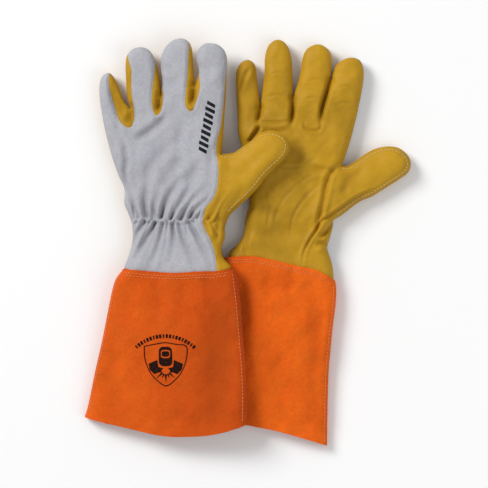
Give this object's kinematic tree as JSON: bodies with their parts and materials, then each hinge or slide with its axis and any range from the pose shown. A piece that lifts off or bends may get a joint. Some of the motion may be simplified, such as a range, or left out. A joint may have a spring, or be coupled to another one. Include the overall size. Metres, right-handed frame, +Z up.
{
  "type": "welding gloves",
  "caption": "Pair of leather welding gloves with long flared gauntlet cuffs, one palm up and one back up, laid flat and overlapping",
  "frame": {"origin": "centre of the pair's footprint, on the surface that the gloves lie on", "axes": "+Z up, +Y towards the fingertips, +X from the left glove towards the right glove"},
  "size_m": [0.2904, 0.3568, 0.0437],
  "materials": {
    "white_split_leather": "napped split leather, pale grey, matte",
    "gold_grain_leather": "smooth grain leather, golden, low sheen",
    "orange_split_leather": "napped split leather, dyed orange, matte",
    "knitted_elastic": "woven elastic band"
  },
  "bodies": {
    "right_glove": {"right_hand_back": "white_split_leather", "right_hand_palm": "gold_grain_leather", "right_cuff_back": "orange_split_leather", "right_cuff_palm": "orange_split_leather", "right_wrist_elastic": "knitted_elastic"},
    "right_little": {"right_little_back": "white_split_leather", "right_little_front": "gold_grain_leather", "right_little_inner_fourchette": "gold_grain_leather"},
    "right_ring": {"right_ring_back": "white_split_leather", "right_ring_front": "gold_grain_leather", "right_ring_outer_fourchette": "gold_grain_leather", "right_ring_inner_fourchette": "gold_grain_leather"},
    "right_middle": {"right_middle_back": "white_split_leather", "right_middle_front": "gold_grain_leather", "right_middle_outer_fourchette": "gold_grain_leather", "right_middle_inner_fourchette": "gold_grain_leather"},
    "right_index": {"right_index_back": "white_split_leather", "right_index_front": "gold_grain_leather", "right_index_outer_fourchette": "gold_grain_leather"},
    "right_thumb": {"right_thumb_back": "gold_grain_leather", "right_thumb_front": "gold_grain_leather", "right_thumb_welt": "gold_grain_leather"},
    "left_glove": {"left_hand_back": "white_split_leather", "left_hand_palm": "gold_grain_leather", "left_cuff_back": "orange_split_leather", "left_cuff_palm": "orange_split_leather", "left_wrist_elastic": "knitted_elastic"},
    "left_little": {"left_little_back": "white_split_leather", "left_little_front": "gold_grain_leather", "left_little_inner_fourchette": "gold_grain_leather"},
    "left_ring": {"left_ring_back": "white_split_leather", "left_ring_front": "gold_grain_leather", "left_ring_outer_fourchette": "gold_grain_leather", "left_ring_inner_fourchette": "gold_grain_leather"},
    "left_middle": {"left_middle_back": "white_split_leather", "left_middle_front": "gold_grain_leather", "left_middle_outer_fourchette": "gold_grain_leather", "left_middle_inner_fourchette": "gold_grain_leather"},
    "left_index": {"left_index_back": "white_split_leather", "left_index_front": "gold_grain_leather", "left_index_outer_fourchette": "gold_grain_leather"},
    "left_thumb": {"left_thumb_back": "gold_grain_leather", "left_thumb_front": "gold_grain_leather", "left_thumb_welt": "gold_grain_leather"}
  },
  "joints": [
    {"name": "right_little_curl", "type": "hinge", "parent": "right_glove", "child": "right_little", "pos_m": [-0.00126, 0.10716, 0.0181], "axis": [0.9998, 0.0175, 0], "range_deg": [0, 60]},
    {"name": "right_ring_curl", "type": "hinge", "parent": "right_glove", "child": "right_ring", "pos_m": [0.02324, 0.10673, 0.0181], "axis": [0.9997, -0.0262, 0], "range_deg": [0, 60]},
    {"name": "right_middle_curl", "type": "hinge", "parent": "right_glove", "child": "right_middle", "pos_m": [0.05149, 0.10624, 0.0181], "axis": [0.9914, -0.1305, 0], "range_deg": [0, 60]},
    {"name": "right_index_curl", "type": "hinge", "parent": "right_glove", "child": "right_index", "pos_m": [0.08048, 0.10573, 0.0181], "axis": [0.9833, -0.1822, 0], "range_deg": [0, 60]},
    {"name": "right_thumb_curl", "type": "hinge", "parent": "right_glove", "child": "right_thumb", "pos_m": [0.08503, 0.04677, 0.0186], "axis": [-0.1011, -0.9949, 0], "range_deg": [0, 45]},
    {"name": "left_glove_lift", "type": "slide", "parent": "right_glove", "child": "left_glove", "axis": [0, 0, 1], "range_m": [0, 0.15]},
    {"name": "left_little_bend", "type": "hinge", "parent": "left_glove", "child": "left_little", "pos_m": [-0.11691, 0.10159, 0.02055], "axis": [0.9698, 0.1908, 0.1517], "range_deg": [0, 45]},
    {"name": "left_ring_bend", "type": "hinge", "parent": "left_glove", "child": "left_ring", "pos_m": [-0.09232, 0.10584, 0.0244], "axis": [0.9866, 0.0523, 0.1543], "range_deg": [0, 45]},
    {"name": "left_middle_bend", "type": "hinge", "parent": "left_glove", "child": "left_middle", "pos_m": [-0.06529, 0.11052, 0.02862], "axis": [0.9865, -0.0558, 0.1543], "range_deg": [0, 45]},
    {"name": "left_index_bend", "type": "hinge", "parent": "left_glove", "child": "left_index", "pos_m": [-0.03535, 0.1157, 0.03331], "axis": [0.9858, -0.0663, 0.1542], "range_deg": [0, 45]},
    {"name": "left_thumb_bend", "type": "hinge", "parent": "left_glove", "child": "left_thumb", "pos_m": [-0.02179, 0.05646, 0.03593], "axis": [0.0878, -0.996, 0.0137], "range_deg": [0, 40]}
  ]
}
